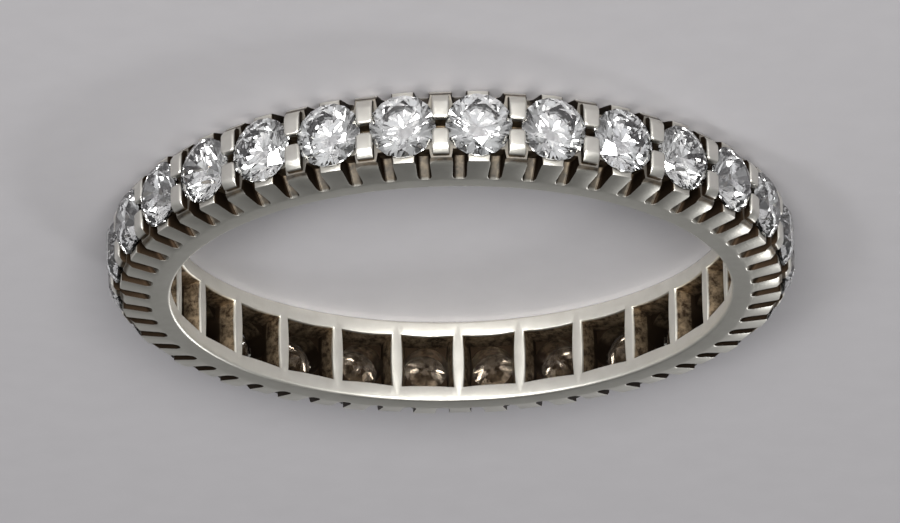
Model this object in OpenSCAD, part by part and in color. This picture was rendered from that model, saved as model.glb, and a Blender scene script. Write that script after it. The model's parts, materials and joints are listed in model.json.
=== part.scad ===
// Full eternity ring: a white metal band with one row of round brilliants in shared claws.
// Sizes are in millimetres. The origin is the centre of the finger hole and +Z runs along
// the finger, so the ring lies on the flat side of one rail.

/* [Finger] */
// Inner diameter of the ring
inner_d = 17; // [15:0.25:22]

/* [Stones] */
// Number of stones round the ring
stone_count = 28; // [24:1:34]
// Gap between neighbouring stones
stone_gap = 0.27; // [0.2:0.01:0.4]
// Height of the tip of each stone over the finger
culet_clear = 0.72; // [0.6:0.01:1]
// Clearance between a stone and its seat
seat_fit = 0.02; // [0.01:0.005:0.04]
// Metal ledge under the edge of each stone, inside which the seat is drilled through
ledge_w = 0.32; // [0.2:0.01:0.45]

/* [Facets] */
// Width of the table as a share of the stone's diameter
table_share = 0.58; // [0.53:0.01:0.62]
// Slope of the main facets above the girdle, in degrees
crown_angle = 34.5; // [32:0.5:36]
// Height of the girdle as a share of the stone's diameter
girdle_share = 0.03; // [0.02:0.005:0.05]
// Depth below the girdle as a share of the stone's diameter
pavilion_share = 0.43; // [0.41:0.005:0.45]
// Length of the star facets as a share of the way from table to girdle
star_share = 0.5; // [0.4:0.05:0.6]
// Length of the lower girdle facets as a share of the way from girdle to tip
lower_share = 0.77; // [0.7:0.01:0.85]
// Turn from one stone to the next about its own axis, in degrees
stone_turn = 17; // [0:1:44]

/* [Band] */
// Metal at each side beyond the edges of the stones, measured at the rails
shoulder_w = 0.33; // [0.25:0.01:0.6]
// Height of each smooth rail over the finger
rail_h = 0.6; // [0.4:0.01:0.7]
// Width of each rail on the finger side
rail_w = 0.49; // [0.35:0.01:0.6]
// Chamfer along the finger side of each rail
inner_edge = 0.08; // [0.02:0.01:0.15]
// Chamfer along the outer edge of each rail
outer_edge = 0.04; // [0.01:0.01:0.1]
// Metal at each side beyond the edges of the stones, measured at the top of the pillars
lip_w = 0.13; // [0.04:0.01:0.2]
// Depth from the middle of the girdle down to the top of the pillars
lip_drop = 0.08; // [0.05:0.01:0.15]

/* [Windows] */
// Width of the bar between two windows, half way along it
bar_mid = 0.36; // [0.25:0.01:0.5]
// Width of the same bar at its ends
bar_end = 0.29; // [0.2:0.01:0.5]
// Depth of each window from the finger side to the drilled hole
window_h = 0.62; // [0.4:0.01:0.7]
// Ledge left between the end of a window and the drilled hole
window_step = 0.02; // [0.01:0.01:0.05]
// Depth by which the bars stand back from the rails, which alone touch the finger
bar_relief = 0.02; // [0.01:0.01:0.05]
// Reach of that shallow groove past the windows, on each side
relief_lip = 0.03; // [0.02:0.01:0.1]

/* [Side slots] */
// Width of each saw slot
slot_w = 0.42; // [0.25:0.01:0.5]
// Height of the bottom of the slots over the finger
slot_floor = 0.58; // [0.5:0.01:0.8]
// Distance from the middle of the band to the inner ends of the slots
slot_end = 0.73; // [0.7:0.01:0.9]
// Rise of the bottom of the slots from the outer side to the inner end
slot_rise = 0.42; // [0.2:0.01:0.6]

/* [Claws] */
// Reach of a claw over the edge of each of its two stones
claw_grip = 0.1; // [0.06:0.01:0.16]
// Height of the claws over the middle of the girdle
claw_h = 0.21; // [0.18:0.01:0.35]
// Gap between the two claws of a pair
claw_gap = 0.3; // [0.15:0.01:0.4]
// Depth of that gap from the tops of the claws
claw_gap_depth = 0.62; // [0.45:0.01:0.75]
// Step from the outer side of the band in to the claws
claw_step = 0.175; // [0.02:0.005:0.2]
// Bevel on the outer end of a claw, along the finger
bevel_w = 0.22; // [0.1:0.01:0.35]
// Bevel on the outer end of a claw, away from the finger
bevel_h = 0.16; // [0.05:0.01:0.2]

/* [Hidden] */
inner_r = inner_d / 2;
pitch = 360 / stone_count;
half = pitch / 2;

// The stones fill the circle. They come closest at the lower edges of their girdles, which
// are circles tilted towards each other, so the gap there settles their diameter:
// gap = 2 * sin(half) * (inner_r + culet_clear + pavilion) - stone_d * cos(half)
// Stones are sorted by hundredths of a millimetre, so the diameter is rounded to that.
stone_fill = (2 * sin(half) * (inner_r + culet_clear) - stone_gap)
    / (cos(half) - 2 * sin(half) * pavilion_share);
stone_d = round(100 * stone_fill) / 100;
girdle_t = stone_d * girdle_share;
pavilion_t = stone_d * pavilion_share;
crown_t = stone_d / 2 * (1 - table_share) * tan(crown_angle);
girdle_r = inner_r + culet_clear + pavilion_t + girdle_t / 2;

band_w = stone_d + 2 * shoulder_w;
pillar_r = girdle_r - lip_drop;
rail_r = inner_r + rail_h;
drill_r = stone_d / 2 - ledge_w;
claw_r = girdle_r + claw_h;
claw_w = stone_gap + 2 * claw_grip;
claw_root_r = pillar_r - claw_gap_depth / 2;
window_half = band_w / 2 - rail_w;
window_taper = (drill_r + window_step) / window_half;
past = 0.5;
round_fn = 180;

function stone_name(k) = str("stone_", k < 10 ? "0" : "", k);

// Half the width of the band at a radius outside the rails, where its side leans in.
function side_z(r) =
    let (z0 = band_w / 2 - outer_edge, z1 = stone_d / 2 + lip_w)
    z0 + (z1 - z0) * (r - rail_r) / (pillar_r - rail_r);

// Evenly spaced corners round the axis of a stone, at one height.
function ring_points(count, radius, height, start) =
    [for (i = [0 : count - 1])
        let (a = start + i * 360 / count)
        [radius * cos(a), radius * sin(a), height]];

// Corners of a round brilliant: 8 round the table, 8 between the star facets, 16 on each
// edge of the girdle, 8 below it and the tip. Each main facet is flat by its formula.
function brilliant_points(r) =
    let (
        table = r * table_share,
        star_r = table * cos(22.5) + star_share * (r - table * cos(22.5)),
        star_z = crown_t * (r - star_r * cos(22.5)) / (r - table),
        lower_r = r * (1 - lower_share),
        lower_z = pavilion_t * (1 - lower_r * cos(22.5) / r)
    )
    concat(
        ring_points(8, table, girdle_t / 2 + crown_t, 0),
        ring_points(8, star_r, girdle_t / 2 + star_z, 22.5),
        ring_points(16, r, girdle_t / 2, 0),
        ring_points(16, r, -girdle_t / 2, 0),
        ring_points(8, lower_r, -girdle_t / 2 - lower_z, 22.5),
        [[0, 0, -girdle_t / 2 - pavilion_t]]
    );

// Facets of a round brilliant, each wound clockwise as seen from outside.
function brilliant_faces() =
    let (table = 0, star = 8, top = 16, low = 32, lower = 48, tip = 56)
    concat(
        [[for (i = [7 : -1 : 0]) table + i]],
        [for (i = [0 : 7]) [table + i, table + (i + 1) % 8, star + i]],
        [for (i = [0 : 7]) [table + i, star + i, top + 2 * i, star + (i + 7) % 8]],
        [for (i = [0 : 7]) [star + i, top + 2 * i + 1, top + 2 * i]],
        [for (i = [0 : 7]) [star + i, top + (2 * i + 2) % 16, top + 2 * i + 1]],
        [for (i = [0 : 15]) [top + i, top + (i + 1) % 16, low + (i + 1) % 16, low + i]],
        [for (i = [0 : 7]) [lower + i, low + 2 * i, low + 2 * i + 1]],
        [for (i = [0 : 7]) [lower + i, low + 2 * i + 1, low + (2 * i + 2) % 16]],
        [for (i = [0 : 7]) [tip, lower + (i + 7) % 8, low + 2 * i, lower + i]]
    );

// Turns a shape drawn on end, with z away from the finger, to a stone's place at the
// middle of the band. Stone 1 comes just after the claws that face -Y.
module at_stone(k, radius) {
    rotate([0, 0, -90 + (k - 0.5) * pitch])
        translate([radius, 0, 0])
            rotate([0, 90, 0])
                children();
}

module stone(k) {
    color("aliceblue")
        at_stone(k, girdle_r)
            rotate([0, 0, k * stone_turn])
                polyhedron(brilliant_points(stone_d / 2), brilliant_faces());
}

// The plain band before it is pierced: two rails and sides that lean in to the stones.
module band() {
    side = [
        [inner_r + bar_relief, window_half + relief_lip],
        [inner_r, window_half + relief_lip],
        [inner_r, band_w / 2 - inner_edge],
        [inner_r + inner_edge, band_w / 2],
        [rail_r - outer_edge, band_w / 2],
        [rail_r, band_w / 2 - outer_edge],
        [pillar_r, side_z(pillar_r)]
    ];
    rotate_extrude($fn = round_fn)
        polygon(concat(side, [for (i = [len(side) - 1 : -1 : 0]) [side[i][0], -side[i][1]]]));
}

// One claw, drawn from the side and as wide as its grip on two stones asks.
module claw() {
    outer = side_z(claw_r - bevel_h) - claw_step;
    rotate([90, 0, 0])
        translate([0, 0, -claw_w / 2])
            linear_extrude(claw_w)
                polygon([
                    [claw_root_r, claw_gap / 2],
                    [claw_r, claw_gap / 2],
                    [claw_r, outer - bevel_w],
                    [claw_r - bevel_h, outer],
                    [claw_root_r, side_z(claw_root_r) - claw_step]
                ]);
}

module claws() {
    for (k = [1 : stone_count])
        rotate([0, 0, -90 + k * pitch])
            for (flip = [0, 1])
                mirror([0, 0, flip])
                    claw();
}

// The window under a stone: a four-sided opening with bowed bars at its sides, which
// narrows from the finger to the drilled hole.
module window() {
    across = inner_r * tan(half);
    mouth = [
        [window_half, across - bar_end / 2],
        [0, across - bar_mid / 2],
        [-window_half, across - bar_end / 2],
        [-window_half, bar_end / 2 - across],
        [0, bar_mid / 2 - across],
        [window_half, bar_end / 2 - across]
    ];
    // The taper goes on inside the finger hole, so that the cut clears the curved wall. Each
    // end is two faces, because the bowed sides make it hollow.
    widen = 1 + (1 - window_taper) * past / window_h;
    polyhedron(
        concat(
            [for (p = mouth) [p[0] * widen, p[1] * widen, inner_r - past]],
            [for (p = mouth) [p[0] * window_taper, p[1] * window_taper, inner_r + window_h]]
        ),
        concat(
            [[0, 1, 4, 5], [1, 2, 3, 4]],
            [[11, 10, 7, 6], [10, 9, 8, 7]],
            [for (i = [0 : 5]) [i, 6 + i, 6 + (i + 1) % 6, (i + 1) % 6]]
        )
    );
}

// The seat: a drilled hole, the slope under the stone, its girdle, and the crown, which
// the claws reach over.
module seat() {
    r = stone_d / 2 + seat_fit;
    low = girdle_r - girdle_t / 2 - seat_fit;
    high = girdle_r + girdle_t / 2 + seat_fit;
    slope = pavilion_share * 2;
    top_h = crown_t + past;
    rotate_extrude($fn = round_fn / 3)
        polygon([
            [0, inner_r + window_h / 2],
            [drill_r, inner_r + window_h / 2],
            [drill_r, low - (r - drill_r) * slope],
            [r, low],
            [r, high],
            [r - crown_t / tan(crown_angle), high + crown_t],
            [r - crown_t / tan(crown_angle), high + top_h],
            [0, high + top_h]
        ]);
}

// Two slots at each side of the band under a stone. Their bottoms rise inwards, and they
// end before the drilled hole.
module side_slots() {
    floor_r = inner_r + slot_floor;
    for (quarter = [-1, 1], flip = [0, 1])
        mirror([0, 0, flip])
            rotate([90, 0, quarter * pitch / 4])
                translate([0, 0, -slot_w / 2])
                    linear_extrude(slot_w)
                        polygon([
                            [floor_r, band_w / 2 + past],
                            [floor_r, band_w / 2],
                            [floor_r + slot_rise, slot_end],
                            [claw_r + past, slot_end],
                            [claw_r + past, band_w / 2 + past]
                        ]);
}

module claw_gap_ring() {
    difference() {
        cylinder(r = claw_r + past, h = claw_gap, center = true, $fn = round_fn);
        cylinder(r = claw_r - claw_gap_depth, h = claw_gap + past, center = true, $fn = round_fn);
    }
}

module setting() {
    color("gainsboro")
        difference() {
            union() {
                band();
                claws();
            }
            for (k = [1 : stone_count]) {
                at_stone(k, 0) {
                    window();
                    seat();
                }
                rotate([0, 0, -90 + (k - 0.5) * pitch])
                    side_slots();
            }
            claw_gap_ring();
        }
}

setting();
for (k = [1 : stone_count])
    stone(k);
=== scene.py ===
# %% [markdown]
# A full eternity ring: a white metal band with one row of round brilliants, each held by
# square claws that it shares with its neighbours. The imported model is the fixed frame. It
# holds the metal as one node, setting, and each stone as a node of its own.

import json
import math
import random

import bmesh
import bpy
from mathutils import Matrix, Vector


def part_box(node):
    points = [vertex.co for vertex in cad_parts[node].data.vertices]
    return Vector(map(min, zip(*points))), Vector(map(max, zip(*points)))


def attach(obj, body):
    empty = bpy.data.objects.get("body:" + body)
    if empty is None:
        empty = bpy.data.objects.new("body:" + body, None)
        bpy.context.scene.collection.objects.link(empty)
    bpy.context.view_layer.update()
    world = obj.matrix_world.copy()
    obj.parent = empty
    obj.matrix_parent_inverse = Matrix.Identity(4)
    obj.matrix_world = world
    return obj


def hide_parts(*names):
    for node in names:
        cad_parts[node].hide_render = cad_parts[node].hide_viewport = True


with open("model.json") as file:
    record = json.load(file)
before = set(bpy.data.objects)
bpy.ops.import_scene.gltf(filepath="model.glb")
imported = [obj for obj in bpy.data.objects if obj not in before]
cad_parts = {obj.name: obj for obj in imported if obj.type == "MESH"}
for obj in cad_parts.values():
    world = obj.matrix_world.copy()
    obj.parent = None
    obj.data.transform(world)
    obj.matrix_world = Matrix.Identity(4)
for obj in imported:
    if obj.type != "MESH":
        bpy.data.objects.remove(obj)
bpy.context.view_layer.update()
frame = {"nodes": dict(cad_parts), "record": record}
print("nodes in the frame", len(frame["nodes"]))

# %% [markdown]
# The sizes below are in millimetres. What the frame knows is read from it: the finger hole
# from its mount, the claws and the width from the box of the setting, and the number and
# the radius of the stones from their nodes. The others are the model's own, apart from the
# width of the rails.

# %% Sizes in millimetres
MM = 0.001
bore = next(m for m in frame["record"]["mounts"] if m["name"] == "finger_hole")
setting_low, setting_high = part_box("setting")
stone_names = sorted(n for n in frame["nodes"] if n.startswith("stone_"))

inner_r = bore["dims"]["r_mm"]
claw_r = setting_high.x / MM
band_half = setting_high.z / MM
stone_count = len(stone_names)
stone_r = max(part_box(n)[1].z for n in stone_names) / MM
pitch = math.tau / stone_count

rail_h = 0.60  # height of the rails over the finger
rail_w = 0.47  # width of each rail, 0.02 less than in the model
girdle_drop = 0.21  # from the tops of the claws down to the middle of the girdles
pillar_drop = 0.29  # from the tops of the claws down to the tops of the pillars
lip_w = 0.13  # metal beyond the edge of a stone, at the tops of the pillars
seat_fit = 0.02  # clearance round a stone
ledge_w = 0.32  # width of the seat under a stone's edge
print("stones", stone_count, "finger radius", inner_r, "claw radius", round(claw_r, 3))

# %% [markdown]
# A real ring of this kind is cast in one piece, sawn and filed by hand, then set and
# polished. It repeats once for each stone, so one sector is modelled, between the middles
# of two neighbouring stones, and then copied round. It is modelled in millimetres, with
# the claws on the X axis, and made metres at the end. A few helpers keep the steps short.
# Each starts from nothing selected, because the frame's nodes stay selected after loading.

# %% Helpers for modelling
def begin(add, name, **where):
    """Adds a primitive at its size and place and opens it with nothing selected."""
    bpy.ops.object.select_all(action="DESELECT")
    add(**where)
    obj = bpy.context.object
    obj.name = name
    bpy.ops.object.transform_apply(location=True, rotation=True, scale=True)
    bpy.ops.object.mode_set(mode="EDIT")
    bpy.ops.mesh.select_all(action="DESELECT")
    return obj


def pick(obj, kind, test):
    """Selects the open mesh's vertices, edges or faces whose middle passes the test."""
    bpy.ops.mesh.select_all(action="DESELECT")
    bpy.ops.mesh.select_mode(type={"verts": "VERT", "edges": "EDGE", "faces": "FACE"}[kind])
    mesh = bmesh.from_edit_mesh(obj.data)
    for part in getattr(mesh, kind):
        if kind == "verts":
            middle = part.co
        elif kind == "edges":
            middle = (part.verts[0].co + part.verts[1].co) / 2
        else:
            middle = part.calc_center_median()
        if test(middle):
            part.select_set(True)
    bmesh.update_edit_mesh(obj.data)


def close():
    """Turns the normals outwards and leaves edit mode."""
    bpy.ops.mesh.select_all(action="SELECT")
    bpy.ops.mesh.normals_make_consistent(inside=False)
    bpy.ops.object.mode_set(mode="OBJECT")


def near(a, b, reach=1e-4):
    return abs(a - b) < reach


# %% [markdown]
# The band's section is a rail on the finger side and a wall that leans in to the stones.
# It starts as a plane the size of the rail, whose outer edge is extruded and narrowed.
# Its corners are rounded before it is spun, so the rounding follows the whole band.

# %% The band
rail_r = inner_r + rail_h
pillar_r = claw_r - pillar_drop
lip_z = stone_r + lip_w
inner_round = 0.10
outer_round = 0.05

band = begin(
    bpy.ops.mesh.primitive_plane_add,
    "band",
    size=1,
    location=((inner_r + rail_r) / 2, 0, 0),
    rotation=(math.pi / 2, 0, 0),
)
bpy.ops.mesh.select_all(action="SELECT")
bpy.ops.transform.resize(
    value=(rail_h, 1, 2 * band_half), center_override=((inner_r + rail_r) / 2, 0, 0)
)
pick(band, "edges", lambda p: near(p.x, rail_r))
bpy.ops.mesh.extrude_region_move(TRANSFORM_OT_translate={"value": (pillar_r - rail_r, 0, 0)})
bpy.ops.transform.resize(value=(1, 1, lip_z / band_half), center_override=(pillar_r, 0, 0))
pick(band, "verts", lambda p: near(p.x, inner_r))
bpy.ops.mesh.bevel(affect="VERTICES", offset=inner_round, segments=4, profile=0.5)
pick(band, "verts", lambda p: near(p.x, rail_r))
bpy.ops.mesh.bevel(affect="VERTICES", offset=outer_round, segments=3, profile=0.5)
bpy.ops.mesh.select_all(action="SELECT")
bpy.ops.mesh.dissolve_limited(angle_limit=math.radians(0.1))
print("section corners", len(bmesh.from_edit_mesh(band.data).verts))

# %% [markdown]
# The section is now turned round the finger. It covers one whole sector, which reaches past
# both ends of the quarter that is kept, so that every cut runs clean through it. With no
# window, a positive angle turns clockwise, so the section first goes ahead and is then spun
# back.

# %% Spin the band
side_steps = 8  # flat steps of the band to one sector
bpy.ops.mesh.select_all(action="SELECT")
bpy.ops.transform.rotate(value=-0.75 * pitch, orient_axis="Z", center_override=(0, 0, 0))
bpy.ops.mesh.spin(steps=side_steps, angle=pitch, center=(0, 0, 0), axis=(0, 0, 1))
close()
print("band faces", len(band.data.polygons))

# %% [markdown]
# Where the maker saws or drills, a boolean takes the metal away, and another one joins the
# claw to the band. It could stay a modifier, but applying it at once lets the next step work
# on the new faces. Three more helpers serve these steps.

# %% Helpers for cutting
def only(obj):
    bpy.ops.object.select_all(action="DESELECT")
    obj.select_set(True)
    bpy.context.view_layer.objects.active = obj


def pick_edges(obj, test):
    """Selects the open mesh's edges whose two ends pass the test."""
    bpy.ops.mesh.select_all(action="DESELECT")
    bpy.ops.mesh.select_mode(type="EDGE")
    mesh = bmesh.from_edit_mesh(obj.data)
    for edge in mesh.edges:
        if test(edge.verts[0].co, edge.verts[1].co):
            edge.select_set(True)
    bmesh.update_edit_mesh(obj.data)


def combine(obj, other, operation):
    """Joins to obj, or cuts from it, the solid other, which is then deleted."""
    only(obj)
    bpy.ops.object.modifier_add(type="BOOLEAN")
    step = obj.modifiers[-1]
    step.operation = operation
    step.object = other
    step.solver = "EXACT"
    bpy.ops.object.modifier_apply(modifier=step.name)
    bpy.data.objects.remove(other)


# %% [markdown]
# Two saw slots are cut into each side of the band under every stone. They end before the
# stone's hole, so no light falls through them, and leave narrow pillars, in turn under a
# pair of claws and under the middle of a stone. The cutter is a cube whose lower side is
# tilted, because a slot's bottom rises inwards, and rounded, as a file leaves it.

# %% The slots
past = 0.5
slot_w = 0.42
slot_floor = inner_r + 0.58
slot_end = 0.73
slot_rise = 0.42
slot_round = 0.15
slot = begin(
    bpy.ops.mesh.primitive_cube_add,
    "slot",
    size=1,
    location=((slot_floor + claw_r + past) / 2, 0, (slot_end + band_half + past) / 2),
    scale=(claw_r + past - slot_floor, slot_w, band_half + past - slot_end),
)
pick(slot, "edges", lambda p: near(p.x, slot_floor) and near(p.z, slot_end))
bpy.ops.transform.translate(value=(slot_rise, 0, 0))
pick(slot, "edges", lambda p: near(p.x, slot_floor) and near(p.z, band_half + past))
bpy.ops.transform.translate(value=(-slot_rise * past / (band_half - slot_end), 0, 0))
pick_edges(slot, lambda a, b: max(a.x, b.x) < claw_r and abs(a.z - b.z) > 1)
bpy.ops.mesh.bevel(offset=slot_round, segments=5, profile=0.5)
bpy.ops.mesh.select_all(action="SELECT")
bpy.ops.transform.rotate(value=-pitch / 4, orient_axis="Z", center_override=(0, 0, 0))
close()
combine(band, slot, "DIFFERENCE")
print("slotted band faces", len(band.data.polygons))

# %% [markdown]
# The ends of the pillars are rounded beside the slots. The cut has just made the edges that
# a bevel needs for it.

# %% Round the ends of the pillars
end_round = 0.11


def on_slot_wall(p):
    """True on the slot's walls at the outer end of a pillar."""
    across = p.y * math.cos(pitch / 4) - p.x * math.sin(pitch / 4)
    return near(abs(across), slot_w / 2, 1e-3) and math.hypot(p.x, p.y) > pillar_r - 0.01


only(band)
bpy.ops.object.mode_set(mode="EDIT")
pick_edges(band, lambda a, b: on_slot_wall(a) and on_slot_wall(b) and abs(a.z - b.z) > 0.1)
bpy.ops.mesh.bevel(offset=end_round, segments=3, profile=0.5)
close()
print("band faces with rounded pillars", len(band.data.polygons))

# %% [markdown]
# Under a pair of claws a file has sloped the rim of the pillar, which a cube turned by 45
# degrees cuts away. Only the upper side of the band needs the cut, because the lower one
# becomes its mirror image.

# %% Slope the rim under the claws
claw_slope = 0.13
file_half = 0.25  # half the thickness of the turned cube
rim_file = begin(
    bpy.ops.mesh.primitive_cube_add,
    "rim_file",
    size=1,
    location=(
        pillar_r + file_half * math.sqrt(0.5),
        0,
        lip_z - claw_slope + file_half * math.sqrt(0.5),
    ),
    rotation=(0, math.pi / 4, 0),
    scale=(1, 1, 2 * file_half),
)
close()
combine(band, rim_file, "DIFFERENCE")
print("filed band faces", len(band.data.polygons))

# %% [markdown]
# A claw is a square post that stands between two stones, beside its twin. Its top is flat
# and filed off towards the outside, and its inner end is rounded, so that a pair looks like
# two thumbs that meet. Its foot stands in the pillar, and its outer side follows the lean
# of the band, a step further in.

# %% Sizes of a claw
claw_w = 0.50  # 0.03 more than in the model
gap_half = 0.15
gap_depth = 0.62
claw_root = pillar_r - gap_depth / 2
bevel_w = 0.22
bevel_h = 0.16
claw_step = 0.175
inner_end_round = 0.12
top_round = 0.07
claw_soft = 0.03


def side_z(radius):
    """Half the width of the band at a radius where its wall leans in."""
    lean = (radius - rail_r) / (pillar_r - rail_r)
    return band_half - outer_round + (lip_z - band_half + outer_round) * lean


shoulder_r = claw_r - bevel_h
root_z = side_z(claw_root) - claw_step
shoulder_z = side_z(shoulder_r) - claw_step
print("claw from radius", round(claw_root, 3), "to", round(claw_r, 3))

# %% [markdown]
# It starts as a cube. One edge is moved to make the lean, and the top is extruded and
# narrowed to make the slope. One bevel rounds the inner end, another one the top's edges.

# %% A claw
claw = begin(
    bpy.ops.mesh.primitive_cube_add,
    "claw",
    size=1,
    location=((claw_root + shoulder_r) / 2, 0, (gap_half + root_z) / 2),
    scale=(shoulder_r - claw_root, claw_w, root_z - gap_half),
)
pick(claw, "edges", lambda p: near(p.x, shoulder_r) and near(p.z, root_z))
bpy.ops.transform.translate(value=(0, 0, shoulder_z - root_z))
pick(claw, "faces", lambda p: near(p.x, shoulder_r))
bpy.ops.mesh.extrude_region_move(TRANSFORM_OT_translate={"value": (bevel_h, 0, 0)})
bpy.ops.transform.resize(
    value=(1, 1, (shoulder_z - bevel_w - gap_half) / (shoulder_z - gap_half)),
    center_override=(claw_r, 0, gap_half),
)
pick_edges(claw, lambda a, b: near(a.z, gap_half) and near(b.z, gap_half) and near(a.y, b.y))
bpy.ops.mesh.bevel(offset=inner_end_round, segments=5, profile=0.5)
pick_edges(claw, lambda a, b: near(a.x, claw_r) and near(b.x, claw_r))
bpy.ops.mesh.bevel(offset=top_round, segments=4, profile=0.5)
close()
print("claw faces", len(claw.data.polygons))

# %% [markdown]
# The sharp edges that are left are softened all together, as the polishing wheel does, and
# then the claw is joined to the band.

# %% Soften the claw and join it
only(claw)
bpy.ops.object.modifier_add(type="BEVEL")
soften = claw.modifiers[-1]
soften.width = claw_soft
soften.segments = 2
soften.limit_method = "ANGLE"
soften.angle_limit = math.radians(35)
bpy.ops.object.modifier_apply(modifier=soften.name)
combine(band, claw, "UNION")
print("band and claw faces", len(band.data.polygons))

# %% [markdown]
# On the finger side a window is pierced under each stone, so that light comes up through
# it and it can be cleaned. The saw leaves a four-sided hole whose side bars are thickest in
# their middle. It narrows towards the stone, to little more than the width of the hole
# drilled for it.

# %% Sizes of a window
bar_mid = 0.36
bar_end = 0.29
rail_bow = 0.03
window_h = 0.62
window_step = 0.02
drill_r = stone_r - ledge_w
window_half = band_half - rail_w
taper = (drill_r + window_step) / window_half
widen = 1 + (1 - taper) * past / window_h
across = inner_r * math.tan(pitch / 2)
print("window", round(2 * across - bar_mid, 2), "by", round(2 * window_half, 2), "mm")

# %% [markdown]
# The cutter starts as a plane on the X axis, inside the finger hole. Its four sides are
# bowed by moving their points.

# %% The window's outline
window = begin(
    bpy.ops.mesh.primitive_plane_add,
    "window",
    size=1,
    location=(inner_r - past, 0, 0),
    rotation=(0, math.pi / 2, 0),
)
bpy.ops.mesh.select_all(action="SELECT")
half_y = (across - bar_end / 2) * widen
half_z = window_half * widen
bpy.ops.transform.resize(
    value=(1, 2 * half_y, 2 * half_z), center_override=(inner_r - past, 0, 0)
)
bpy.ops.mesh.subdivide(number_cuts=5)
bow_y = (bar_mid - bar_end) / 2 * widen
bow_z = rail_bow * widen
for level in (-2, -1, 0, 1, 2):
    fall = 1 - (level / 3) ** 2
    pick(window, "verts", lambda p: near(p.z, level * half_z / 3) and near(abs(p.y), half_y))
    bpy.ops.transform.resize(value=(1, 1 - fall * bow_y / half_y, 1), center_override=(0, 0, 0))
    pick(window, "verts", lambda p: near(p.y, level * half_y / 3) and near(abs(p.z), half_z))
    bpy.ops.transform.resize(value=(1, 1, 1 - fall * bow_z / half_z), center_override=(0, 0, 0))
bpy.ops.mesh.select_all(action="SELECT")
bpy.ops.mesh.dissolve_limited(angle_limit=math.radians(0.1))
print("window corners", len(bmesh.from_edit_mesh(window.data).verts))

# %% [markdown]
# The outline is extruded to the depth of the window, narrowed towards the stone, turned to
# its place under it and cut out.

# %% Pierce the window
bpy.ops.mesh.select_all(action="SELECT")
bpy.ops.mesh.extrude_region_move(TRANSFORM_OT_translate={"value": (past + window_h, 0, 0)})
bpy.ops.transform.resize(
    value=(1, taper / widen, taper / widen), center_override=(inner_r + window_h, 0, 0)
)
bpy.ops.mesh.select_all(action="SELECT")
bpy.ops.transform.rotate(value=-pitch / 2, orient_axis="Z", center_override=(0, 0, 0))
close()
combine(band, window, "DIFFERENCE")
print("pierced band faces", len(band.data.polygons))

# %% [markdown]
# The setter opens a seat for each stone from outside: a drilled hole, then the slope that
# carries the stone, a short wall for its girdle, and a cone under the overhang of the
# claws. Its sizes follow those of the stone.

# %% Sizes of a seat
girdle_r = claw_r - girdle_drop
girdle_half = 0.03
seat_r = stone_r + seat_fit
seat_low = girdle_r - girdle_half - seat_fit
seat_high = girdle_r + girdle_half + seat_fit
crown_share = 0.42  # share of the stone's radius over which its crown slopes
crown_w = stone_r * crown_share
crown_angle = math.radians(34.5)
crown_h = crown_w * math.tan(crown_angle)
table_r = seat_r - crown_w
pavilion_slope = 0.86
print("seat radius", round(seat_r, 3), "hole radius", round(drill_r, 3))

# %% [markdown]
# The cutter is a circle, extruded and resized once for each of these, and a last time to
# clear the claws.

# %% Cut the seat
seat = begin(
    bpy.ops.mesh.primitive_circle_add,
    "seat",
    vertices=40,
    radius=drill_r,
    fill_type="NGON",
    location=(inner_r + window_h / 2, 0, 0),
    rotation=(0, math.pi / 2, 0),
)
bpy.ops.mesh.select_all(action="SELECT")
steps = [
    (seat_low - (seat_r - drill_r) * pavilion_slope, drill_r),
    (seat_low, seat_r),
    (seat_high, seat_r),
    (seat_high + crown_h, table_r),
    (seat_high + crown_h + past, table_r),
]
at, radius = inner_r + window_h / 2, drill_r
for next_at, next_radius in steps:
    bpy.ops.mesh.extrude_region_move(TRANSFORM_OT_translate={"value": (next_at - at, 0, 0)})
    ratio = next_radius / radius
    bpy.ops.transform.resize(value=(1, ratio, ratio), center_override=(next_at, 0, 0))
    at, radius = next_at, next_radius
bpy.ops.mesh.select_all(action="SELECT")
bpy.ops.transform.rotate(value=-pitch / 2, orient_axis="Z", center_override=(0, 0, 0))
close()
combine(band, seat, "DIFFERENCE")
print("drilled band faces", len(band.data.polygons))

# %% [markdown]
# A last saw cut all round the ring parts the two claws of each pair.

# %% The gap between the claws
gap_floor = claw_r - gap_depth
gap_round = 0.05
gap_length = 2.52  # longer than a sector, so that the cut goes through its open sides
gap = begin(
    bpy.ops.mesh.primitive_cube_add,
    "gap",
    size=1,
    location=((gap_floor + claw_r + past) / 2, 0, 0),
    scale=(claw_r + past - gap_floor, gap_length, 2 * gap_half),
)
pick_edges(gap, lambda a, b: near(a.x, gap_floor) and near(b.x, gap_floor) and near(a.z, b.z))
bpy.ops.mesh.bevel(offset=gap_round, segments=3, profile=0.5)
close()
combine(band, gap, "DIFFERENCE")
print("cut band faces", len(band.data.polygons))

# %% [markdown]
# Only the quarter from the middle of the claw to the middle of the stone, above the middle
# of the band, is kept. Where faces from several cuts meet, points that almost touch are
# merged.

# %% Keep a quarter
touch = 0.004  # points nearer than this become one


def trim(normal):
    """Cuts the open mesh with a plane through the origin and drops what lies beyond it."""
    bpy.ops.mesh.select_all(action="SELECT")
    bpy.ops.mesh.bisect(plane_co=(0, 0, 0), plane_no=normal, clear_outer=True, threshold=1e-5)


only(band)
bpy.ops.object.mode_set(mode="EDIT")
trim((0, -1, 0))
trim((0, 0, -1))
trim((-math.sin(pitch / 2), math.cos(pitch / 2), 0))
bpy.ops.mesh.select_all(action="SELECT")
bpy.ops.mesh.remove_doubles(threshold=touch)
bpy.ops.mesh.dissolve_limited(angle_limit=math.radians(0.5))
print("quarter points", len(bmesh.from_edit_mesh(band.data).verts))

# %% [markdown]
# The sharp edges that a polishing wheel reaches get a small round. The open sides have no
# face beyond them, so they stay as cut and meet their mirror images exactly.

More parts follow.
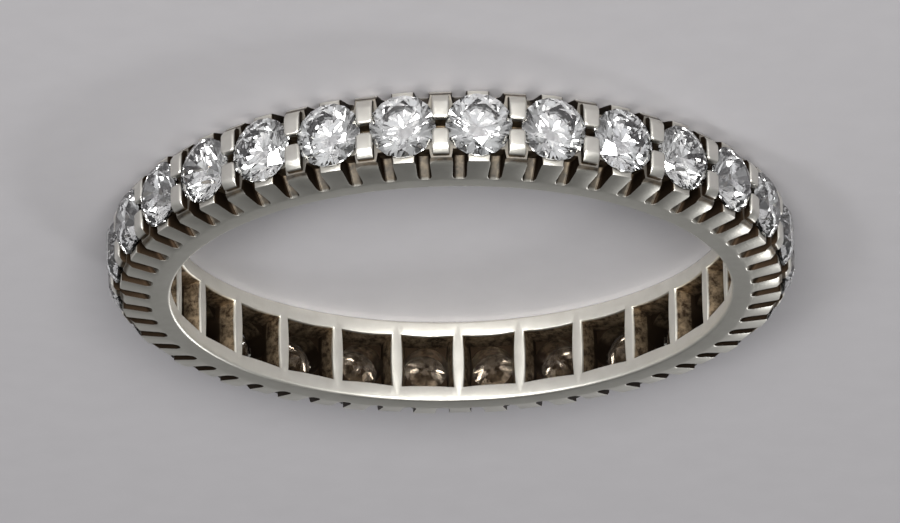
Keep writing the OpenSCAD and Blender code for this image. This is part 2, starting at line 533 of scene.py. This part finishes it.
# %% Soften its edges
edge_soft = 0.018
finger_reach = 0.12  # the wheel reaches this far in from the finger side
side_reach = 0.06  # and this far in from the outer sides


def pick_sharp(obj, degrees, test):
    """Selects the open mesh's edges that turn by more than this and whose middle passes."""
    bpy.ops.mesh.select_all(action="DESELECT")
    bpy.ops.mesh.select_mode(type="EDGE")
    mesh = bmesh.from_edit_mesh(obj.data)
    for edge in mesh.edges:
        turn = edge.calc_face_angle(0)
        if turn > math.radians(degrees) and test((edge.verts[0].co + edge.verts[1].co) / 2):
            edge.select_set(True)
    bmesh.update_edit_mesh(obj.data)


def polished(p):
    """True on the finger side, on the outer sides and at the ends of the pillars."""
    radius = math.hypot(p.x, p.y)
    outside = p.z > side_z(radius) - side_reach
    return radius < inner_r + finger_reach or outside and radius < pillar_r + 0.01


pick_sharp(band, 35, polished)
bpy.ops.transform.edge_bevelweight(value=1)
close()
only(band)
bpy.ops.object.modifier_add(type="BEVEL")
soften = band.modifiers[-1]
soften.width = edge_soft
soften.segments = 2
soften.limit_method = "WEIGHT"
soften.use_clamp_overlap = False
bpy.ops.object.modifier_apply(modifier=soften.name)
print("quarter faces", len(band.data.polygons))

# %% [markdown]
# Two mirrors make the quarter a whole sector.

# %% Mirror the quarter
bpy.ops.object.modifier_add(type="MIRROR")
mirror = band.modifiers[-1]
mirror.use_axis = (False, True, True)
mirror.merge_threshold = 0.002
bpy.ops.object.modifier_apply(modifier=mirror.name)
band.data.calc_loop_triangles()
print("sector triangles", len(band.data.loop_triangles))

# %% [markdown]
# The sector is copied round the finger, once for each pair of claws, and each copy turns
# its place into its mesh. A hand-finished ring is never quite regular: every claw is filed
# a little differently. So each copy's claws are moved by up to two hundredths of a
# millimetre each way before it is joined, with a fixed seed. Its open sides stay in place.

# %% Copy the sector round
random.seed(7)
claw_foot = pillar_r - 0.02
claw_shift = ((-0.012, 0.004), (-0.02, 0.02), (-0.02, 0.02))
sectors = []
for k in range(1, stone_count + 1):
    only(band)
    bpy.ops.object.duplicate()
    copy = bpy.context.object
    for side in (-1, 1):
        shift = Vector([random.uniform(low, high) for low, high in claw_shift])
        for vertex in copy.data.vertices:
            if vertex.co.x > claw_foot and vertex.co.z * side > 0 and abs(vertex.co.y) < claw_w:
                share = (vertex.co.x - claw_foot) / (claw_r - claw_foot)
                vertex.co += shift * min(share, 1)
    copy.rotation_euler.z = k * pitch - math.pi / 2
    copy.scale = (MM, MM, MM)
    bpy.ops.object.transform_apply(location=False, rotation=True, scale=True)
    sectors.append(copy)
bpy.data.objects.remove(band)
print("sectors", len(sectors))

# %% [markdown]
# The sectors are joined and the points of their open sides merged, which makes the setting
# one closed surface. It is seen in place of the frame's own node.

# %% Join the sectors
bpy.ops.object.select_all(action="DESELECT")
for copy in sectors:
    copy.select_set(True)
setting = sectors[0]
bpy.context.view_layer.objects.active = setting
bpy.ops.object.join()
setting.name = "ring_setting"
setting.data.name = "ring_setting"
bpy.ops.object.mode_set(mode="EDIT")
bpy.ops.mesh.select_all(action="SELECT")
bpy.ops.mesh.remove_doubles(threshold=0.001 * MM)
close()
bpy.ops.object.shade_smooth_by_angle(angle=math.radians(38))
setting.data.calc_loop_triangles()
checked = bmesh.new()
checked.from_mesh(setting.data)
open_edges = sum(len(edge.link_faces) != 2 for edge in checked.edges)
checked.free()
print("setting triangles", len(setting.data.loop_triangles), "open edges", open_edges)

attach(setting, "root")
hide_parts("setting")

# %% [markdown]
# Two helpers serve the materials: one turns an sRGB hex colour to the linear values that
# the shader works with, and one adds a node with its settings, values and links.

# %% Helpers for materials
MATH = "ShaderNodeMath"
VECTOR = "ShaderNodeVectorMath"
RANGE = "ShaderNodeMapRange"
NOISE = "ShaderNodeTexNoise"
MIX = "ShaderNodeMix"
PRINCIPLED = "ShaderNodeBsdfPrincipled"
OUTPUT = "ShaderNodeOutputMaterial"


def hex_colour(text):
    values = [int(text[i : i + 2], 16) / 255 for i in (1, 3, 5)]
    return tuple(v / 12.92 if v <= 0.04045 else ((v + 0.055) / 1.055) ** 2.4 for v in values) + (1,)


def add(tree, kind, values=None, **settings):
    """Adds a node. Each of values fills an input, with a number, a socket or a node."""
    made = tree.nodes.new(kind)
    for name, value in settings.items():
        setattr(made, name, value)
    for key, value in (values or {}).items():
        if isinstance(value, bpy.types.Node):
            value = next(socket for socket in value.outputs if socket.enabled)
        if isinstance(value, bpy.types.NodeSocket):
            tree.links.new(value, made.inputs[key])
        else:
            made.inputs[key].default_value = value
    return made


def new_material(name):
    material = bpy.data.materials.new(name)
    material.use_nodes = True
    material.node_tree.nodes.clear()
    return material, material.node_tree


# %% [markdown]
# The metal is a platinum alloy, cast, sawn, and polished where a wheel can reach. Deep in
# the windows and slots it keeps the matt brownish film of polish and wear. The first nodes
# work out in millimetres how far a point lies from the nearest polished surface: the finger
# side, the tops of the claws, or the sides, which lean in above the rails.

# %% Platinum: how deep a point lies
platinum, tree = new_material("polished_platinum")
place = add(tree, "ShaderNodeTexCoord").outputs["Object"]
mm = add(tree, VECTOR, {0: place, 1: (1 / MM, 1 / MM, 1 / MM)}, operation="MULTIPLY")
flat = add(tree, VECTOR, {0: mm, 1: (1, 1, 0)}, operation="MULTIPLY")
radius = add(tree, VECTOR, {0: flat}, operation="LENGTH")
split = add(tree, "ShaderNodeSeparateXYZ", {0: mm})
height = add(tree, MATH, {0: split.outputs["Z"]}, operation="ABSOLUTE")

polished_top = claw_r - 0.12
lean = (band_half - lip_z) / (pillar_r - rail_r)
from_finger = add(tree, MATH, {0: radius, 1: inner_r}, operation="SUBTRACT")
from_top = add(tree, MATH, {0: polished_top, 1: radius}, operation="SUBTRACT")
beyond = add(tree, MATH, {0: radius, 1: rail_r}, operation="SUBTRACT")
beyond = add(tree, MATH, {0: beyond, 1: 0.0}, operation="MAXIMUM")
wall = add(tree, MATH, {0: beyond, 1: -lean, 2: band_half}, operation="MULTIPLY_ADD")
from_side = add(tree, MATH, {0: wall, 1: height}, operation="SUBTRACT")
depth = add(tree, MATH, {0: from_finger, 1: from_side}, operation="MINIMUM")
depth = add(tree, MATH, {0: depth, 1: from_top}, operation="MINIMUM")
print("nodes for the depth", len(tree.nodes))

# %% [markdown]
# The walls of the saw slots can't be polished at all, so they count as deeper. They are the
# faces above the rails that look neither outwards nor along the finger. A noise with clouds
# of about half a millimetre then keeps the film's edge from being a straight line.

# %% Platinum: the film
outward = add(tree, VECTOR, {0: flat}, operation="NORMALIZE")
normal = add(tree, "ShaderNodeTexCoord").outputs["Normal"]
facing = add(tree, VECTOR, {0: normal, 1: outward}, operation="DOT_PRODUCT")
upright = add(tree, "ShaderNodeSeparateXYZ", {0: normal}).outputs["Z"]
upright = add(tree, MATH, {0: upright}, operation="ABSOLUTE")
turned = add(tree, MATH, {0: facing, 1: upright}, operation="MAXIMUM")
sawn = {"Value": turned, "From Min": 0.5, "From Max": 0.75, "To Min": 1.0, "To Max": 0.0}
sawn = add(tree, RANGE, sawn)
above_rail = add(tree, MATH, {0: radius, 1: rail_r - 0.1}, operation="GREATER_THAN")
sawn = add(tree, MATH, {0: sawn, 1: above_rail}, operation="MULTIPLY")
depth = add(tree, MATH, {0: sawn, 1: 0.1, 2: depth}, operation="MULTIPLY_ADD")
cloud = add(tree, NOISE, {"Vector": mm, "Scale": 2.2, "Detail": 4.0, "Roughness": 0.6})
depth = add(tree, MATH, {0: cloud, 1: 0.06, 2: depth}, operation="MULTIPLY_ADD")
film = {"Value": depth, "From Min": 0.05, "From Max": 0.12}
film = add(tree, RANGE, film, interpolation_type="SMOOTHSTEP")
print("nodes for the film", len(tree.nodes))

# %% [markdown]
# A file has taken part of the film off again: at the outer ends of the pillars, more of it
# under a stone than under the claws, and on the bottoms of the slots. The ends repeat round
# the ring, so a cosine of the angle round the finger, once for each stone, tells them apart.

# %% Platinum: where a file has cleaned it
facing = add(tree, RANGE, {"Value": facing, "From Min": 0.6, "From Max": 0.9})
angle = add(tree, MATH, {0: split.outputs["Y"], 1: split.outputs["X"]}, operation="ARCTAN2")
quarter_turn = stone_count * math.pi / 2
angle = add(tree, MATH, {0: angle, 1: stone_count, 2: quarter_turn}, operation="MULTIPLY_ADD")
beat = add(tree, MATH, {0: angle}, operation="COSINE")
share = {"Value": beat, "From Min": -0.1, "From Max": 0.1, "To Min": 1.0, "To Max": 0.5}
share = add(tree, RANGE, share)
pillar_end = add(tree, MATH, {0: radius, 1: pillar_r - 0.1}, operation="GREATER_THAN")
filed = add(tree, MATH, {0: share, 1: pillar_end}, operation="MULTIPLY")
filed = add(tree, MATH, {0: filed, 1: facing}, operation="MULTIPLY")
bottom = {"Value": radius, "From Min": rail_r + 0.15, "From Max": rail_r + 0.5}
bottom = add(tree, RANGE, bottom | {"To Min": 1.0, "To Max": 0.0})
bottom = add(tree, MATH, {0: facing, 1: bottom}, operation="MULTIPLY")
filed = add(tree, MATH, {0: bottom, 1: 0.6, 2: filed}, operation="MULTIPLY_ADD")
kept = add(tree, MATH, {0: filed, 1: -0.70, 2: 1.0}, operation="MULTIPLY_ADD")
film = add(tree, MATH, {0: film, 1: kept}, operation="MULTIPLY")
print("nodes for the file", len(tree.nodes))

# %% [markdown]
# Polished platinum is a slightly warm light grey mirror with hairlines from wear round the
# finger. They are finer than a pixel of the main view, where they only soften the shine. The
# claws shine a little more, and the bottoms of the slots are a duller grey. The film is
# mottled in spots of about a fifth of a millimetre and browner near the finger. Further in,
# towards the stones, and on the walls of the slots, it is darkened with painted shade for the
# shade that falls in these recesses.

# %% Platinum: tones, painted shade, roughness and relief
grain = add(tree, NOISE, {"Vector": mm, "Scale": 4.5, "Detail": 4.0, "Roughness": 0.7})
patches = add(tree, RANGE, {"Value": grain, "From Min": 0.38, "From Max": 0.62})
film_and_painted_shade = {0: patches, 6: hex_colour("#3a2f25"), 7: hex_colour("#8a7963")}
film_and_painted_shade = add(tree, MIX, film_and_painted_shade, data_type="RGBA")
# Painted shade: the film is darkened towards #2a2119 further in from the finger and on the walls of
# the slots.
painted_recess_shade = add(tree, RANGE, {"Value": from_finger, "From Min": 0.2, "From Max": 0.62, "To Max": 0.45})
painted_recess_shade = add(tree, MATH, {0: sawn, 1: 0.6, 2: painted_recess_shade}, operation="MULTIPLY_ADD", use_clamp=True)
film_and_painted_shade = add(tree, MIX, {0: painted_recess_shade, 6: film_and_painted_shade, 7: hex_colour("#2a2119")}, data_type="RGBA")
polish = {0: cloud, 6: hex_colour("#dcd9d0"), 7: hex_colour("#ebe9e2")}
polish = add(tree, MIX, polish, data_type="RGBA")
tone = add(tree, MIX, {0: bottom, 6: polish, 7: hex_colour("#6c6a64")}, data_type="RGBA")
tone = add(tree, MIX, {0: film, 6: tone, 7: film_and_painted_shade}, data_type="RGBA")
along = add(tree, VECTOR, {0: mm, 1: (6, 6, 90)}, operation="MULTIPLY")
hairlines = add(tree, NOISE, {"Vector": along, "Scale": 1.0, "Detail": 4.0})
wear = add(tree, RANGE, {"Value": cloud, "To Min": 0.37, "To Max": 0.45})
on_claw = add(tree, MATH, {0: radius, 1: pillar_r + 0.02}, operation="GREATER_THAN")
wear = add(tree, MATH, {0: on_claw, 1: -0.08, 2: wear}, operation="MULTIPLY_ADD")
rough = add(tree, MIX, {0: film, 2: wear, 3: 0.55}, data_type="FLOAT")
relief = add(tree, MIX, {0: film, 2: hairlines, 3: grain}, data_type="FLOAT")
bump = add(tree, "ShaderNodeBump", {"Height": relief, "Strength": 0.25, "Distance": 0.02 * MM})
surface = {"Base Color": tone, "Metallic": 1.0, "Roughness": rough, "Normal": bump}
add(tree, OUTPUT, {"Surface": add(tree, PRINCIPLED, surface)})
for obj in (setting, frame["nodes"]["setting"]):
    obj.data.materials.clear()
    obj.data.materials.append(platinum)
print("nodes of the platinum", len(tree.nodes))

# %% [markdown]
# The stones are colourless diamonds. Their glitter is refraction in flat facets, so their
# faces stay flat and clear, with the high index of diamond. Faint clouds of a warmer and
# a cooler white, almost as wide as a stone, keep them from looking like plastic.

# %% Diamond: the clear stone
diamond, tree = new_material("colourless_diamond")
place = add(tree, "ShaderNodeTexCoord").outputs["Object"]
mm = add(tree, VECTOR, {0: place, 1: (1 / MM, 1 / MM, 1 / MM)}, operation="MULTIPLY")
cloud = add(tree, NOISE, {"Vector": mm, "Scale": 0.6, "Detail": 2.0})
tint = {0: cloud, 6: hex_colour("#fdfdf8"), 7: hex_colour("#f6f8fd")}
tint = add(tree, MIX, tint, data_type="RGBA")
smear = add(tree, RANGE, {"Value": cloud, "To Min": 0.0, "To Max": 0.02})
print("nodes for the clear stone", len(tree.nodes))

# %% [markdown]
# A worn ring can't be wiped behind its stones, so their backs carry the same brownish film
# as the windows. Light that comes from inside a stone meets a clean face, because the film
# only lies on the outside of the back.

# %% Diamond: the film on its back
back_r = girdle_r - 0.15
flat = add(tree, VECTOR, {0: mm, 1: (1, 1, 0)}, operation="MULTIPLY")
radius = add(tree, VECTOR, {0: flat}, operation="LENGTH")
behind = add(tree, MATH, {0: radius, 1: back_r}, operation="LESS_THAN")
inside = add(tree, "ShaderNodeNewGeometry").outputs["Backfacing"]
behind = add(tree, MATH, {0: behind, 1: inside}, operation="SUBTRACT", use_clamp=True)
grain = add(tree, NOISE, {"Vector": mm, "Scale": 4.5, "Detail": 4.0, "Roughness": 0.7})
patches = add(tree, RANGE, {"Value": grain, "From Min": 0.40, "From Max": 0.60})
grime = {0: patches, 6: hex_colour("#2a1f16"), 7: hex_colour("#6f5f4d")}
grime = add(tree, MIX, grime, data_type="RGBA")
tint = add(tree, MIX, {0: behind, 6: tint, 7: grime}, data_type="RGBA")
smear = add(tree, MATH, {0: behind, 1: 0.1, 2: smear}, operation="MULTIPLY_ADD")
clear = add(tree, MATH, {0: behind, 1: -0.3, 2: 1.0}, operation="MULTIPLY_ADD")
surface = {"Base Color": tint, "Roughness": smear, "IOR": 2.417, "Transmission Weight": clear}
add(tree, OUTPUT, {"Surface": add(tree, PRINCIPLED, surface)})
for name in stone_names:
    stone = frame["nodes"][name]
    stone.data.materials.clear()
    stone.data.materials.append(diamond)
    stone.data.shade_flat()
print("nodes of the diamond", len(tree.nodes))

# %% [markdown]
# The ring lies on a pale, matt card. Its fibres show as a very faint mottling of about a
# millimetre, which gives the eye a surface without drawing it away from the ring.

# %% Floor
bpy.ops.object.select_all(action="DESELECT")
bpy.ops.mesh.primitive_plane_add(size=4, location=(0, 0, setting_low.z))
floor = bpy.context.object
floor.name = "floor"
bpy.ops.object.transform_apply(location=True, rotation=True, scale=True)
card, tree = new_material("matt_card")
place = add(tree, "ShaderNodeTexCoord").outputs["Object"]
fibre = add(tree, NOISE, {"Vector": place, "Scale": 900.0, "Detail": 3.0})
tone = {0: fibre, 6: hex_colour("#b7b5b9"), 7: hex_colour("#bdbbbf")}
tone = add(tree, MIX, tone, data_type="RGBA")
add(tree, OUTPUT, {"Surface": add(tree, PRINCIPLED, {"Base Color": tone, "Roughness": 0.7})})
floor.data.materials.append(card)
print("floor at", round(setting_low.z / MM, 3), "mm")

# %% [markdown]
# A camera far away with a long lens keeps the ring's two sides nearly parallel, as in the
# picture. It looks down at the ring from 22.5 degrees, and is turned half round, because
# the picture shows the near stones at its top.

# %% Camera
distance = 0.4
azimuth, elevation, roll = math.radians(-1.26), math.radians(22.53), math.radians(178.98)
px_per_metre = 32985
picture_w = 900  # pixels
step_px = (-0.45, -5.85)  # moves the ring a little off the middle of the picture
towards = Vector(
    (
        math.sin(azimuth) * math.cos(elevation),
        -math.cos(azimuth) * math.cos(elevation),
        math.sin(elevation),
    )
)
bpy.ops.object.select_all(action="DESELECT")
bpy.ops.object.camera_add(location=towards * distance)
camera = bpy.context.object
camera.name = "camera"
turn = towards.to_track_quat("Z", "Y").to_matrix() @ Matrix.Rotation(roll, 3, "Z")
camera.rotation_euler = turn.to_euler()
camera.location += turn @ Vector((step_px[0] / px_per_metre, step_px[1] / px_per_metre, 0))
camera.data.sensor_width = 36
camera.data.lens = px_per_metre * distance * camera.data.sensor_width / picture_w
camera.data.clip_start = 0.01
camera.data.clip_end = 10
bpy.context.scene.camera = camera
print("lens", round(camera.data.lens, 1), "mm")

# %% [markdown]
# A wide softbox stands in front of the ring, a little above it, a small one beside it, and a
# dim one behind it for the stones of the far side. All of them face the ring.

# %% Lights
def softbox(name, at, size, power, colour):
    bpy.ops.object.select_all(action="DESELECT")
    bpy.ops.object.light_add(type="AREA", location=at)
    lamp = bpy.context.object
    lamp.name = name
    lamp.data.shape = "RECTANGLE"
    lamp.data.size, lamp.data.size_y = size
    lamp.data.energy = power
    lamp.data.color = hex_colour(colour)[:3]
    lamp.rotation_euler = Vector(at).to_track_quat("Z", "Y").to_euler()
    print(name, power, "watts")


softbox("front_softbox", (-0.02, -0.40, 0.145), (0.24, 0.08), 2.6, "#fffefa")
softbox("side_softbox", (0.22, -0.30, 0.20), (0.07, 0.07), 0.4, "#ffffff")
softbox("back_softbox", (-0.22, 0.30, 0.18), (0.06, 0.06), 0.3, "#ffffff")

# %% [markdown]
# The room grows darker upwards and to the back, so that the flat sides of the ring have
# something dark to mirror. The plain view transform keeps the colours as they are.

# %% Room
world = bpy.data.worlds.new("studio")
bpy.context.scene.world = world
world.use_nodes = True
tree = world.node_tree
tree.nodes.clear()
ray = add(tree, "ShaderNodeTexCoord").outputs["Generated"]
split = add(tree, "ShaderNodeSeparateXYZ", {0: ray})
ramp = add(tree, "ShaderNodeValToRGB", {0: split.outputs["Z"]})
ramp.color_ramp.elements[0].position = 0.0
ramp.color_ramp.elements[0].color = (0.90, 0.90, 0.92, 1)
ramp.color_ramp.elements[1].position = 0.95
ramp.color_ramp.elements[1].color = (0.10, 0.10, 0.10, 1)
for at, grey in ((0.25, 0.85), (0.45, 0.55), (0.75, 0.30)):
    ramp.color_ramp.elements.new(at).color = (grey, grey, grey, 1)
strength = {"Value": split.outputs["Y"], "From Min": -0.6, "From Max": 0.2}
strength = add(tree, RANGE, strength | {"To Min": 1.0, "To Max": 0.31})
backdrop = add(tree, "ShaderNodeBackground", {"Color": ramp, "Strength": strength})
add(tree, "ShaderNodeOutputWorld", {"Surface": backdrop})
bpy.context.scene.view_settings.view_transform = "Standard"
print("greys of the room", len(ramp.color_ramp.elements))
